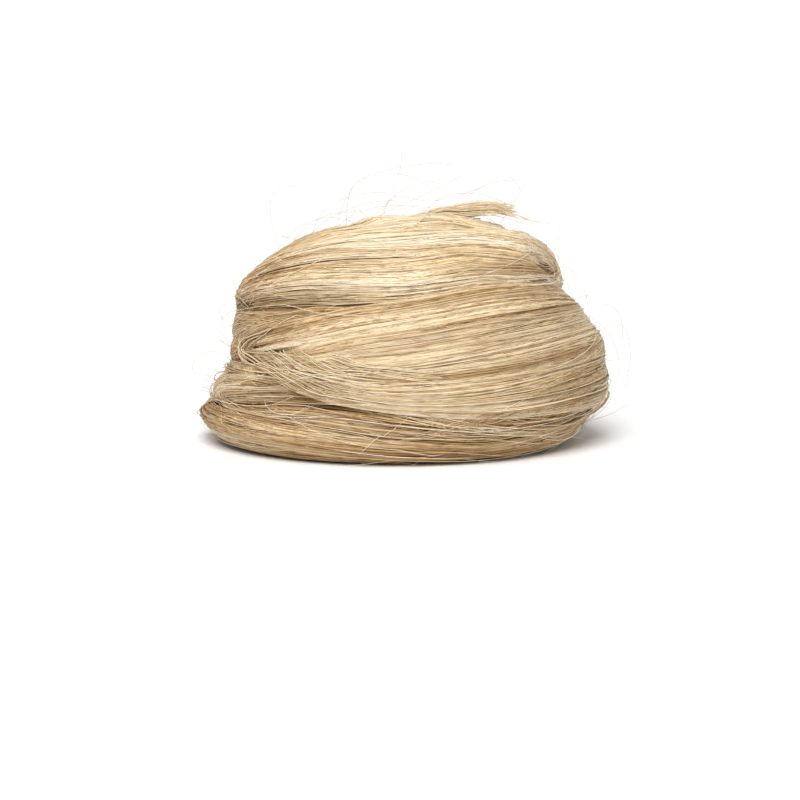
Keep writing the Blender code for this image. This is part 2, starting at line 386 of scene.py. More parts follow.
def calmedAtEye(reach, turns, tilts):
    off = (turns - eye["angle"] + 180) % 360 - 180
    near = np.exp(-((off / eye["calmWide"]) ** 2))[:, None]
    near = near * np.exp(-(((tilts - eye["tilt"]) / eye["calmTall"]) ** 2))
    return reach + (softened(reach, *eye["calmSoftening"]) - reach) * near


def castSurface():
    tree = outerTree(lockNames)
    turns = np.arange(bun["stations"]) * 360 / bun["stations"]
    tilts = np.linspace(bun["lowest"], 90, bun["rays"])
    reach = castReach(tree, turns, tilts)
    bridged = filled(reach, round(bun["closing"] / (tilts[1] - tilts[0])))
    bridged = softened(bridged, *bun["bridgeSoftening"])
    reach = calmedAtEye(softened(reach, *bun["softening"]), turns, tilts)
    heights = np.maximum.accumulate(bun["core"].z + reach * np.sin(np.radians(tilts)), axis=1)
    seams = (
        np.full(len(turns), bun["groundClearance"]),
        seamHeights("bottom_lock", np.max, turns),
        seamHeights("lower_lock", np.min, turns),
        seamHeights("lower_lock", np.max, turns),
        seamHeights("middle_lock", np.max, turns),
    )
    levels = np.arange(bun["seams"] * bun["levelSteps"] + 1) / bun["levelSteps"]
    points = np.empty((len(turns), len(levels), 3))
    for i, turn in enumerate(turns):
        seamTilts = [np.interp(seam[i], heights[i], tilts) for seam in seams] + [90]
        tilt = np.interp(levels, range(bun["seams"] + 1), seamTilts)
        deep = np.interp(tilt, tilts, reach[i])
        over = np.interp(tilt, tilts, bridged[i])
        far = deep + (over - deep) * bridgeShare(turn, tilt, seamTilts)
        flat = far * np.cos(np.radians(tilt))
        points[i, :, 0] = flat * math.cos(math.radians(turn))
        points[i, :, 1] = flat * math.sin(math.radians(turn))
        points[i, :, 2] = bun["core"].z + far * np.sin(np.radians(tilt))
    dome = ease((levels - settled["fromLevel"]) / settled["overLevels"])
    points[..., 2] -= dome * settledBy(points[..., 0], points[..., 1])
    beside = np.roll(points, -1, 0) - np.roll(points, 1, 0)
    up = np.gradient(smoothed(points, 1, bun["normalSoftening"], False), axis=1)
    normals = unit(np.cross(beside, up))
    normals[:, -1] = (0, 0, 1)
    return points, normals, tree


def sample(table, angle, level):
    x = (angle % 360) * bun["stations"] / 360
    y = np.clip(level, 0, bun["seams"]) * bun["levelSteps"]
    left = np.floor(x).astype(int)
    low = np.minimum(np.floor(y).astype(int), bun["seams"] * bun["levelSteps"] - 1)
    a = (x - left)[..., None]
    b = (y - low)[..., None]
    left = left % bun["stations"]
    right = (left + 1) % bun["stations"]
    under = table[left, low] * (1 - a) + table[right, low] * a
    over = table[left, low + 1] * (1 - a) + table[right, low + 1] * a
    return under * (1 - b) + over * b


def levelAt(angle, height):
    column = np.linspace(0, bun["seams"], bun["columnPoints"])
    heights = sample(surfacePoints, np.full(column.shape, angle), column)[:, 2]
    return float(np.interp(height, np.maximum.accumulate(heights), column))


def raised(angle, level, lift):
    angle, level, lift = np.broadcast_arrays(angle, level, lift)
    normals = unit(sample(surfaceNormals, angle, level))
    return sample(surfacePoints, angle, level) + normals * lift[..., None], normals


surfacePoints, surfaceNormals, outside = castSurface()
print("surface measured")

# Strands


def curveAt(knots, place):
    last = len(knots) - 1
    first = np.clip(np.floor(place).astype(int), 0, last - 1)
    t = (place - first).reshape(np.shape(place) + (1,) * (knots.ndim - 1))
    p0, p1, p2, p3 = (knots[np.clip(first + k, 0, last)] for k in (-1, 0, 1, 2))
    m1, m2 = (p2 - p0) / 2, (p3 - p1) / 2
    path = p1 * (2 * t**3 - 3 * t**2 + 1) + m1 * (t**3 - 2 * t**2 + t)
    return path + p2 * (3 * t**2 - 2 * t**3) + m2 * (t**3 - t**2)


def along(rows, column, angle):
    angles = [row.angle for row in rows]
    values = np.array([getattr(row, column) for row in rows], float)
    return curveAt(values, np.interp(angle, angles, np.arange(len(rows))))


def stream(rows, angle, share):
    low, middle, high = (along(rows, column, angle) for column in ("low", "middle", "high"))
    under = low + (middle - low) * 2 * share
    over = middle + (high - middle) * (2 * share - 1)
    return np.where(share < 0.5, under, over)


waveShares = (0.72, 0.28)  # of its slow part and its fast one


def wave(rng, shape, share, slow, fast):
    first, second = (
        np.sin(2 * math.pi * (rng.uniform(*turns, shape) * share + rng.uniform(0, 1, shape)))
        for turns in (slow, fast)
    )
    return waveShares[0] * first + waveShares[1] * second


eyeLevel = levelAt(eye["angle"], eye["height"])


def roundEye(angle, level):
    off = angle % 360 - eye["angle"]
    above = level - eyeLevel + off * eye["slant"]
    push = eye["reach"] * np.exp(-((off / eye["turn"]) ** 2)) * np.exp(-np.abs(above) / eye["fade"])
    return level + push * np.tanh(above / eye["core"])


# Painted light and shade: where the hair's tone is made darker or paler to stand in for how light
# falls on it, by how much, and how far from the middle of the place. Most spots paint shade (the
# eye's hollow, the left end, the fold, the lower right, the bottom); some paint light (the right
# edge, the under lock)
PaintedShading = namedtuple("PaintedShading", "angle level wide tall amount")
paintedShadingSpots = (
    PaintedShading(341, eyeLevel, 20, 0.045, -0.42),
    PaintedShading(198, 4.30, 30, 0.55, -0.32),
    PaintedShading(265, 4.70, 60, 0.25, 0.02),
    PaintedShading(318, 4.60, 24, 0.30, -0.12),
    PaintedShading(285, 4.10, 45, 0.10, 0.12),
    PaintedShading(285, 3.50, 50, 0.50, -0.09),
    PaintedShading(205, 3.35, 22, 0.60, -0.10),
    PaintedShading(222, 2.95, 20, 0.45, -0.08),
    PaintedShading(332, 3.50, 24, 0.45, -0.18),
    PaintedShading(332, 2.35, 24, 0.40, -0.18),
    PaintedShading(362, 3.00, 18, 1.60, 0.24),
    PaintedShading(240, 1.40, 45, 0.40, 0.38),
    PaintedShading(232, 1.90, 34, 0.12, -0.40),
    PaintedShading(275, 0.60, 40, 0.50, -0.28),
    PaintedShading(312, 1.40, 30, 0.50, 0.08),
)


# adds the table's painted light and shade to a tone
def withPaintedShading(angle, level, tone):
    for shade in paintedShadingSpots:
        off = (angle - shade.angle + 180) % 360 - 180
        near = np.exp(-((off / shade.wide) ** 2) - ((level - shade.level) / shade.tall) ** 2)
        tone = tone + shade.amount * near
    return tone


# What all wisps share. A wisp is a flat bundle of hairs that run together
wispForm = {
    "placeStep": 0.618034,  # golden section, which spreads any number of wisps evenly
    "placeJitter": 0.15,
    "overrun": 0.04,
    "ragged": 0.07,  # share of a wisp's length by which its hairs' ends differ
    "tip": 0.10,  # share of a hair's length over which it thins and tucks in
    "thinnest": 0.3,
    "tuck": 0.0006,
    "turn": 1.5,  # radians that a wisp twists along its length
    "swell": 0.5,
    "wanderTurns": ((0.3, 0.9), (1, 2)),
    "strayTurns": ((0.5, 1.4), (2, 4)),
    "frizzTurns": ((2, 4), (5, 8)),
    "frizz": 0.00003,
    "loose": 0.03,  # share of hairs that stand off the surface
    "looseLift": (0.0003, 0.0009),
    "sinkShare": (-0.3, 1),
    "sinkFade": 0.10,
    "radiusSpread": (0.75, 1.25),
    "hairTone": 0.09,
    "hairWarm": 0.12,
    "toneTurns": ((0.5, 1.5), (2, 4)),
    "waveTone": 0.04,
    "dark": 0.12,  # share of hairs that are much darker
    "darker": 0.28,
}


def wispPaths(group, rows, rng, share, each, every):
    start = rng.uniform(*group["start"], each)
    if "span" in group:
        span = rng.uniform(*group["span"], each)
    else:
        span = rng.uniform(*group["end"], each) - start
    jitter = rng.uniform(0, wispForm["placeJitter"], each)
    place = (np.arange(group["wisps"]).reshape(each) * wispForm["placeStep"] + jitter) % 1
    width = rng.uniform(*group["width"], each)
    thick = rng.uniform(*group["thick"], each)
    head = rng.uniform(0, wispForm["ragged"], every)
    tail = rng.uniform(1 - wispForm["ragged"], 1, every)
    run = head + (tail - head) * share
    spot = rng.uniform(0, 2 * math.pi, every)
    out = np.sqrt(rng.uniform(0, 1, every))
    twist = rng.uniform(-1, 1, each) * wispForm["turn"]
    across = out * np.cos(spot + twist * run)
    above = out * np.sin(spot + twist * run)
    angle = start + span * run
    drift = rng.uniform(-1, 1, each) * group["drift"] + rng.uniform(-1, 1, every) * group["cross"]
    own = place + across * width + drift * (run - 0.5)
    own += wave(rng, each, run, *wispForm["wanderTurns"]) * group["wander"]
    own += wave(rng, every, run, *wispForm["strayTurns"]) * group["stray"]
    level = stream(rows, angle, np.clip(own, -wispForm["overrun"], 1 + wispForm["overrun"]))
    if group.get("round"):
        level = roundEye(angle, level)
    return run, angle, level, thick * (0.5 + 0.5 * above)


def wispLifts(group, rng, share, each, every, run, level, rise):
    lift = group["lift"] + rise * np.sin(math.pi * run) ** wispForm["swell"]
    lift = lift + wave(rng, every, run, *wispForm["frizzTurns"]) * wispForm["frizz"]
    standing = rng.uniform(0, 1, every) < wispForm["loose"]
    looseLift = standing * rng.uniform(*wispForm["looseLift"], every)
    lift = lift + looseLift * np.sin(math.pi * share) ** 2
    if "sink" in group:  # some wisps come out from under the next lock, some lie over it
        sink = group["sink"] * rng.uniform(*wispForm["sinkShare"], each)
        beyond = level - group["under"] if "under" in group else group["over"] - level
        lift = lift - sink * ease(beyond / wispForm["sinkFade"])
    return lift


def thinned(radius, form, rng, every, ends):
    radius = radius * rng.uniform(*form["radiusSpread"], every)
    return radius * (form["thinnest"] + (1 - form["thinnest"]) * ends)


def layWisps(group, rows):
    rng = np.random.default_rng(group["seed"])
    each, every = (group["wisps"], 1, 1), (group["wisps"], group["hairs"], 1)
    share = np.linspace(0, 1, group["steps"] + 1)
    ends = ease(np.minimum(share, 1 - share) / wispForm["tip"])
    run, angle, level, rise = wispPaths(group, rows, rng, share, each, every)
    lift = wispLifts(group, rng, share, each, every, run, level, rise)
    points, normals = raised(angle, level, lift - wispForm["tuck"] * (1 - ends))
    radius = thinned(group["radius"], wispForm, rng, every, ends)
    tone = rng.uniform(*group["tone"], each) + rng.normal(0, wispForm["hairTone"], every)
    tone = tone + wispForm["waveTone"] * wave(rng, every, share, *wispForm["toneTurns"])
    # painted light and shade, by place on the bun
    tone = withPaintedShading(angle, level, tone)
    tone = tone - wispForm["darker"] * (rng.uniform(0, 1, every) < wispForm["dark"])
    warm = rng.uniform(*group["warm"], each) + rng.normal(0, wispForm["hairWarm"], every)
    return strandSet(points, normals, radius, tone, np.clip(warm, 0, 1))


# Hair that is drawn row by row: how many hairs, how far they spread and rise, how pale they are,
# and places that the middle one passes, as angles and heights in millimetres
Drawn = namedtuple("Drawn", "hairs spread lift tone places")


def layDrawn(row, form, rng):
    angles = [angle for angle, height in row.places]
    levels = [levelAt(angle, height / 1000) for angle, height in row.places]
    knots = np.array((angles, levels)).T
    every = (row.hairs, 1)
    share = np.linspace(0, 1, form["steps"] + 1)
    head = rng.uniform(0, form["ragged"], every)
    tail = rng.uniform(1 - form["ragged"], 1, every)
    run = head + (tail - head) * share
    path = curveAt(knots, run * (len(knots) - 1))
    aside = rng.normal(0, form["aside"], every) * row.spread
    aside = aside + row.spread * form["wander"] * wave(rng, every, run, *form["turns"])
    slope = unit(np.gradient(path, axis=1) * (1, form["degrees"]))
    angle = path[..., 0] - aside * slope[..., 1] * form["degrees"]
    level = path[..., 1] + aside * slope[..., 0]
    ends = ease(np.minimum(share, 1 - share) / form["tip"])
    rise = rng.uniform(*form["rise"], every) * row.lift * np.sin(math.pi * share) ** form["swell"]
    points, normals = raised(angle, level, rise - form["tuck"] * (1 - ends))
    radius = thinned(form["radius"], form, rng, every, ends)
    tone = row.tone + rng.normal(0, form["toneSpread"], every)
    warm = rng.uniform(*form["warm"], every)
    warm = warm + (form["middleTone"] - row.tone) * form["warmWhenDark"]
    return strandSet(points, normals, radius, tone, np.clip(warm, 0, 1))


grounding = 1.2  # radii by which a strand's middle stays above the ground


def strandSet(points, normals, radius, tone, warm):
    steps = points.shape[-2]
    count = points[..., 0, 0].size
    flat = points.reshape(count, steps, 3)
    thickness = np.broadcast_to(radius, points.shape[:-1]).reshape(count, steps)
    grounded = np.maximum(flat[..., 2], grounding * thickness)
    return {
        "points": np.stack((flat[..., 0], flat[..., 1], grounded), -1),
        "normals": np.broadcast_to(normals, points.shape).reshape(count, steps, 3),
        "radius": thickness,
        "tone": np.broadcast_to(tone, points.shape[:-1]).reshape(count, steps),
        "warm": np.broadcast_to(warm, points.shape[:-1]).reshape(count, steps),
    }


sides = 3  # of one hair
bakeCell = {"margin": 0.12, "cap": 0.06}  # shares of a hair's cell in the map for its colours


def cellPlaces(count):
    return bakeCell["margin"] + (1 - 2 * bakeCell["margin"]) * np.arange(count) / (count - 1)


def tubeTables(strands, firstPoint, firstStrand, grid):
    points, radius = strands["points"], strands["radius"]
    count, steps = radius.shape
    tangents = unit(np.gradient(points, axis=1))
    normals = strands["normals"]
    normals = unit(normals - tangents * (normals * tangents).sum(-1, keepdims=True))
    beside = np.cross(tangents, normals)
    turns = 2 * math.pi * np.arange(sides) / sides
    ring = [normals * math.cos(turn) + beside * math.sin(turn) for turn in turns]
    verts = np.stack([points + radius[..., None] * side for side in ring], axis=2)
    index = firstPoint + np.arange(count * steps * sides).reshape(count, steps, sides)
    here, there = index[:, :-1], index[:, 1:]
    walls = np.stack((here, np.roll(here, -1, 2), np.roll(there, -1, 2), there), -1)
    starts, stops = index[:, 0, ::-1], index[:, -1]
    cell = firstStrand + np.arange(count)
    left, bottom = (cell % grid) / grid, (cell // grid) / grid
    u = left[:, None] + cellPlaces(steps) / grid
    v = bottom[:, None] + cellPlaces(sides + 1) / grid
    uHere, uThere = (np.repeat(part[..., None], sides, 2) for part in (u[:, :-1], u[:, 1:]))
    vHere, vThere = (np.repeat(part[:, None], steps - 1, 1) for part in (v[:, :-1], v[:, 1:]))
    corners = ((uHere, vHere), (uHere, vThere), (uThere, vThere), (uThere, vHere))
    wallMap = np.stack([np.stack(corner, -1) for corner in corners], -2)
    capMap = []
    cap = bakeCell["cap"] / grid
    for edge, inset in ((u[:, 0], -cap), (u[:, -1], cap)):
        corners = ((0, v[:, 0]), (0, v[:, -1]), (inset, v[:, 1]))
        capMap.append(np.stack([np.stack((edge + step, high), -1) for step, high in corners], 1))
    return {
        "verts": verts.reshape(-1, 3),
        "walls": walls.reshape(-1, 4),
        "caps": np.concatenate((starts, stops)),
        "wallMap": wallMap.reshape(-1, 2),
        "capMap": np.concatenate(capMap).reshape(-1, 2),
        "tone": np.repeat(strands["tone"].reshape(-1), sides),
        "warm": np.repeat(strands["warm"].reshape(-1), sides),
    }


hairTriangles = []


def hairPiece(name, slot, strandSets):
    total = sum(len(strands["radius"]) for strands in strandSets)
    grid = math.ceil(math.sqrt(total))
    tables, points, strandsSoFar = [], 0, 0
    for strands in strandSets:
        tables.append(tubeTables(strands, points, strandsSoFar, grid))
        points += strands["radius"].size * sides
        strandsSoFar += len(strands["radius"])
    joined = {key: np.concatenate([table[key] for table in tables]) for key in tables[0]}
    mesh = bpy.data.meshes.new(name)
    mesh.vertices.add(len(joined["verts"]))
    mesh.vertices.foreach_set("co", joined["verts"].ravel())
    corners = np.concatenate((joined["walls"].ravel(), joined["caps"].ravel()))
    wallCount, capCount = len(joined["walls"]), len(joined["caps"])
    capStart = wallCount * 4
    mesh.loops.add(len(corners))
    mesh.loops.foreach_set("vertex_index", corners.astype(np.int32))
    mesh.polygons.add(wallCount + capCount)
    starts = np.concatenate((np.arange(wallCount) * 4, capStart + np.arange(capCount) * 3))
    mesh.polygons.foreach_set("loop_start", starts.astype(np.int32))
    mesh.polygons.foreach_set("use_smooth", np.ones(wallCount + capCount, bool))
    mesh.update(calc_edges=True)
    for key in ("tone", "warm"):
        values = mesh.attributes.new(key, "FLOAT", "POINT")
        values.data.foreach_set("value", joined[key].astype(np.float32))
    bakeMap = mesh.uv_layers.new(name="OFBake")
    places = np.concatenate((joined["wallMap"], joined["capMap"]))
    bakeMap.uv.foreach_set("vector", places.astype(np.float32).ravel())
    mesh.materials.append(hairMaterials[slot])
    made = bpy.data.objects.new(name, mesh)
    bpy.context.scene.collection.objects.link(made)
    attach(made, "root")
    hairTriangles.append(wallCount * 2 + capCount)
    print(f"{name}: {total} hairs, {hairTriangles[-1]} triangles")
    return made


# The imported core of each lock

coreForm = {
    "inset": 0.0005,  # how far it lies under the loose strands
    "merge": 0.00001,
    "settledFrom": 0.034,
    "settledOver": 0.004,
}


def lockCore(name):
    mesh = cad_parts[name].data.copy()
    made = bpy.data.objects.new(name + "_core", mesh)
    bpy.context.scene.collection.objects.link(made)
    bpy.context.view_layer.objects.active = made
    made.select_set(True)
    bpy.ops.object.mode_set(mode="EDIT")
    bpy.ops.mesh.select_all(action="SELECT")
    bpy.ops.mesh.remove_doubles(threshold=coreForm["merge"])
    bpy.ops.transform.shrink_fatten(value=-coreForm["inset"])
    bpy.ops.object.mode_set(mode="OBJECT")
    bpy.ops.object.shade_smooth()
    made.select_set(False)
    if name == "top_coil":
        table = vertexTable(mesh)
        high = ease((table[:, 2] - coreForm["settledFrom"]) / coreForm["settledOver"])
        table[:, 2] -= high * settledBy(table[:, 0], table[:, 1])
        mesh.vertices.foreach_set("co", table.ravel())
    mesh.materials.clear()
    mesh.materials.append(packedHairAndShade)
    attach(made, "root")
    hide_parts(name)
    return made


for lockName in lockNames:
    lockCore(lockName)
print("packed cores made")

# How the hair runs: for each angle, the levels of a group's lowest, middle and highest strands
Flow = namedtuple("Flow", "angle low middle high")


lastAngle = 900  # past the end of every strand


def fullTurn(low, middle, high):
    return (Flow(0, low, middle, high), Flow(lastAngle, low, middle, high))


# What the wisps of the front share, and those of the back

frontHair = {
    "wisps": 42, "hairs": 24, "steps": 18, "width": (0.03, 0.09), "wander": 0.03, "stray": 0.010,
    "drift": 0.10, "cross": 0.03, "thick": (0.0002, 0.0006), "lift": 0.0001, "radius": 0.00008,
    "warm": (0.15, 0.75),
}
backHair = {
    "wisps": 28, "hairs": 21, "steps": 22, "start": (330, 400), "width": (0.05, 0.14),
    "wander": 0.05, "stray": 0.03, "drift": 0.25, "cross": 0.10, "thick": (0.0002, 0.0006),
    "lift": 0.0, "radius": 0.00008, "warm": (0.10, 0.60),
}

# Bottom lock

# Its tone runs darker than the upper locks': partly the hair's own colour and partly painted shade
# low on the bun
bottomHair = {
    "seed": 11, "wisps": 42, "hairs": 24, "steps": 20, "start": (0, 360), "span": (140, 200),
    "width": (0.06, 0.16), "wander": 0.05, "stray": 0.03, "drift": 0.25, "cross": 0.08,
    "thick": (0.0002, 0.0005), "lift": -0.0001, "radius": 0.00008,
    "tone": (0.27, 0.66), "warm": (0.25, 0.70),
}
bottomFlow = (
    Flow(0, 0.05, 0.52, 0.98),
    Flow(150, 0.05, 0.54, 0.98),
    Flow(190, 0.20, 0.58, 0.99),
    Flow(225, 0.05, 0.52, 0.98),
    Flow(510, 0.05, 0.54, 0.98),
    Flow(550, 0.20, 0.58, 0.99),
    Flow(585, 0.05, 0.52, 0.98),
)

# Its flat underside, which lies on the ground: rings from the band out to the lock's edge
undersideHair = {
    "seed": 13, "hairs": 170, "steps": 20, "span": (130, 210), "inner": 0.0184, "edge": 0.0008,
    "slant": 0.15, "height": (0.00012, 0.00034), "radius": 0.00009, "tone": (0.25, 0.60),
    "warm": (0.2, 0.6),
}


def layUnderside(group):
    rng = np.random.default_rng(group["seed"])
    every = (group["hairs"], 1)
    share = np.linspace(0, 1, group["steps"] + 1)
    angle = rng.uniform(0, 360, every) + rng.uniform(*group["span"], every) * share
    rim = sample(surfacePoints, angle, np.zeros(angle.shape))
    outer = np.hypot(rim[..., 0], rim[..., 1]) - group["edge"]
    place = rng.uniform(0, 1, every)
    place = place + rng.uniform(-group["slant"], group["slant"], every) * (share - 0.5)
    far = group["inner"] + (outer - group["inner"]) * np.clip(place, 0, 1)
    turn = np.radians(angle)
    high = np.broadcast_to(rng.uniform(*group["height"], every), angle.shape)
    points = np.stack((far * np.cos(turn), far * np.sin(turn), high), -1)
    tone = rng.uniform(*group["tone"], every)
    warm = rng.uniform(*group["warm"], every)
    return strandSet(points, np.array((0.0, 0, -1)), group["radius"], tone, warm)


hairPiece(
    "bottom_lock_hair",
    "blonde_hair",
    [layWisps(bottomHair, bottomFlow), layUnderside(undersideHair)],
)

# The shaded lock between the bottom one and the lower one: its hair's darker, browner tone and the
# less glossy shaded_hair material are painted shade

underHair = {
    "seed": 12, "wisps": 14, "hairs": 18, "steps": 14, "start": (186, 215), "end": (300, 352),
    "width": (0.08, 0.20), "wander": 0.08, "stray": 0.05, "drift": 0.35, "cross": 0.12,
    "thick": (0.0001, 0.0004), "lift": -0.0002, "radius": 0.00008,
    "tone": (0.05, 0.42), "warm": (0.45, 0.90),
}
underFlow = fullTurn(1.04, 1.50, 1.96)
hairPiece("under_lock_hair", "shaded_hair", [layWisps(underHair, underFlow)])

# Lower lock: its main strands sweep down from under the lock above, then run round its right.
# The others run round the back and come in under them at the left

lowerSweep = {
    **frontHair, "seed": 22, "start": (202, 250), "end": (365, 410), "tone": (0.45, 0.86),
    "warm": (0.20, 0.80), "under": 2.99, "sink": 0.0010,
}
lowerSweepFlow = (
    Flow(196, 2.96, 3.06, 3.12),
    Flow(206, 2.94, 3.06, 3.12),
    Flow(215, 2.88, 3.05, 3.11),
    Flow(223, 2.76, 3.03, 3.10),
    Flow(230, 2.54, 2.96, 3.08),
    Flow(237, 2.34, 2.83, 3.06),
    Flow(247, 2.12, 2.57, 3.03),
    Flow(256, 2.05, 2.38, 3.02),
    Flow(270, 2.03, 2.30, 3.01),
    Flow(285, 2.03, 2.32, 3.02),
    Flow(300, 2.04, 2.38, 3.03),
    Flow(330, 2.06, 2.48, 3.03),
    Flow(360, 2.05, 2.50, 3.01),
    Flow(420, 2.05, 2.50, 2.98),
)
lowerRound = {**backHair, "seed": 23, "end": (568, 606), "tone": (0.24, 0.70)}
lowerRoundFlow = (
    Flow(320, 2.04, 2.50, 2.97),
    Flow(500, 2.01, 2.50, 2.98),
    Flow(555, 2.00, 2.55, 3.01),
    Flow(575, 2.03, 2.50, 2.97),
    Flow(595, 2.04, 2.40, 2.86),
    Flow(620, 2.03, 2.34, 2.70),
    Flow(640, 2.02, 2.30, 2.60),
)
# short hair in the fold between this lock and the next
foldHair = {
    "seed": 24, "wisps": 10, "hairs": 18, "steps": 12, "start": (190, 214), "end": (246, 286),
    "width": (0.15, 0.30), "wander": 0.05, "stray": 0.05, "drift": 0.15, "cross": 0.10,
    "thick": (0.0002, 0.0006), "lift": 0.0002, "radius": 0.00008,
    "tone": (0.42, 0.70), "warm": (0.30, 0.80),
}
foldFlow = (
    Flow(190, 2.78, 3.00, 3.26),
    Flow(215, 2.84, 3.02, 3.24),
    Flow(240, 2.88, 3.04, 3.22),
    Flow(290, 2.92, 3.02, 3.12),
)
hairPiece(
    "lower_lock_hair",
    "blonde_hair",
    [layWisps(lowerSweep, lowerSweepFlow), layWisps(foldHair, foldFlow)],
)
hairPiece("lower_lock_back_hair", "blonde_hair", [layWisps(lowerRound, lowerRoundFlow)])

# Middle lock: it fans out from a pinch at the left front, over hair that comes round the left

middleFan = {
    **frontHair, "seed": 32, "start": (188, 240), "end": (365, 410), "tone": (0.43, 0.90),
    "over": 3.02, "sink": 0.0004,
}
middleFanFlow = (
    Flow(186, 2.98, 3.12, 3.36),
    Flow(196, 2.98, 3.10, 3.36),
    Flow(206, 2.98, 3.10, 3.44),
    Flow(214, 2.98, 3.14, 3.54),
    Flow(223, 2.98, 3.20, 3.64),
    Flow(237, 2.98, 3.31, 3.74),
    Flow(247, 2.99, 3.39, 3.83),
    Flow(256, 2.99, 3.46, 3.90),
    Flow(275, 2.98, 3.52, 3.98),
    Flow(300, 2.98, 3.52, 4.00),
    Flow(330, 2.98, 3.50, 4.01),
    Flow(360, 3.00, 3.50, 3.99),
    Flow(420, 3.03, 3.50, 3.96),
)
middleRound = {**backHair, "seed": 33, "end": (568, 612), "tone": (0.30, 0.78)}
middleRoundFlow = (
    Flow(320, 3.03, 3.50, 3.97),
    Flow(490, 3.02, 3.50, 3.98),
    Flow(538, 3.00, 3.50, 4.02),
    Flow(555, 3.04, 3.56, 4.00),
    Flow(567, 3.24, 3.66, 3.95),
    Flow(582, 3.52, 3.76, 3.93),
    Flow(600, 3.72, 3.86, 3.94),
    Flow(618, 3.84, 3.92, 3.97),
)
hairPiece("middle_lock_hair", "blonde_hair", [layWisps(middleFan, middleFanFlow)])
hairPiece("middle_lock_back_hair", "blonde_hair", [layWisps(middleRound, middleRoundFlow)])

# Top coil: its front strands run straight across. They pass over and under the eye at its right
# end, or turn into it

topFront = {
    **frontHair, "seed": 41, "wisps": 44, "start": (110, 188), "end": (352, 392),
    "width": (0.03, 0.08), "tone": (0.54, 0.95), "round": True,
}
topFrontFlow = (
    Flow(100, 4.04, 4.28, 4.60),
    Flow(165, 4.00, 4.20, 4.42),
    Flow(190, 4.00, 4.20, 4.48),
    Flow(205, 4.01, 4.25, 4.58),
    Flow(220, 4.015, 4.30, 4.70),
    Flow(240, 4.015, 4.35, 4.79),
    Flow(270, 4.01, 4.37, 4.82),
    Flow(300, 4.01, 4.34, 4.79),
    Flow(318, 4.00, 4.28, 4.71),
    Flow(330, 4.00, 4.23, 4.61),
    Flow(340, 4.00, 4.20, 4.50),
    Flow(352, 4.00, 4.19, 4.46),
    Flow(400, 4.04, 4.26, 4.60),
)
eyeHair = {
    "seed": 45, "wisps": 9, "hairs": 20, "steps": 16, "start": (215, 285), "end": (338, 345),
    "width": (0.10, 0.20), "wander": 0.05, "stray": 0.03, "drift": 0.05, "cross": 0.04,
    "thick": (0.0002, 0.0006), "lift": 0.0002, "radius": 0.00008,
    "tone": (0.40, 0.80), "warm": (0.40, 0.90),
}
eyeFlow = (
    Flow(210, 4.10, 4.18, 4.26),
    Flow(250, 4.08, 4.18, 4.28),
    Flow(290, 4.07, 4.15, 4.24),
    Flow(318, eyeLevel - 0.05, eyeLevel + 0.01, eyeLevel + 0.07),
    Flow(345, eyeLevel - 0.02, eyeLevel, eyeLevel + 0.02),
)
topRound = {
    "seed": 42, "wisps": 32, "hairs": 21, "steps": 20, "start": (354, 400), "end": (500, 560),
    "width": (0.03, 0.09), "wander": 0.03, "stray": 0.02, "drift": 0.15, "cross": 0.06,
    "thick": (0.0002, 0.0006), "lift": 0.0, "radius": 0.00008,
    "tone": (0.40, 0.86), "warm": (0.15, 0.70), "round": True,
}
topRoundFlow = (
    Flow(320, 4.30, 4.46, 4.74),
    Flow(340, 4.03, 4.24, 4.60),
    Flow(360, 4.03, 4.28, 4.74),
    Flow(420, 4.03, 4.34, 4.84),
    Flow(480, 4.03, 4.32, 4.78),
    Flow(520, 4.03, 4.26, 4.60),
    Flow(560, 4.03, 4.24, 4.52),
)
topSwirl = {
    "seed": 43, "wisps": 25, "hairs": 18, "steps": 16, "start": (0, 360), "span": (90, 170),
    "width": (0.06, 0.16), "wander": 0.06, "stray": 0.04, "drift": 0.8, "cross": 0.1,
    "thick": (0.0002, 0.0005), "lift": 0.0, "radius": 0.00008,
    "tone": (0.42, 0.88), "warm": (0.15, 0.70),
}
topSwirlFlow = fullTurn(4.58, 4.78, 4.96)
drawnForm = {
    "seed": 46, "steps": 16, "ragged": 0.18, "aside": 0.5, "wander": 0.25,
    "degrees": 26.0,  # round the bun that are as long as one level is high
    "turns": ((0.4, 1.2), (1, 3)), "tip": 0.12, "tuck": 0.0006, "rise": (0.5, 1), "swell": 0.6,
    "radius": 0.00008, "radiusSpread": (0.75, 1.25), "thinnest": 0.4, "toneSpread": 0.14,
    "warm": (0.25, 0.80), "warmWhenDark": 0.6, "middleTone": 0.5,
}
# the front strands turn down round the eye and come back in under it
eyeRows = (
    Drawn(
        14, 0.03, 0.0005, 0.48,
        ((296, 39.6), (316, 38.4), (332, 37.1), (345, 35.8), (352, 34.2), (353, 32.5)),
    ),
    Drawn(
        20, 0.03, 0.0005, 0.60,
        ((305, 41.6), (325, 40.6), (343, 38.6), (355, 36.2), (358, 34.0), (355, 31.4)),
    ),
    Drawn(
        10, 0.013, 0.0008, 0.88,
        ((294, 34.0), (314, 33.5), (328, 33.1), (340, 32.5), (348, 32.3), (353, 33.2)),
    ),
    Drawn(
        10, 0.013, 0.0008, 0.86,
        ((296, 32.8), (314, 32.4), (330, 31.9), (343, 31.4), (350, 31.7), (354, 33.0)),
    ),
    Drawn(8, 0.012, 0.0007, 0.76, ((304, 31.6), (322, 31.2), (338, 30.7), (348, 31.0), (353, 32.0))),
)
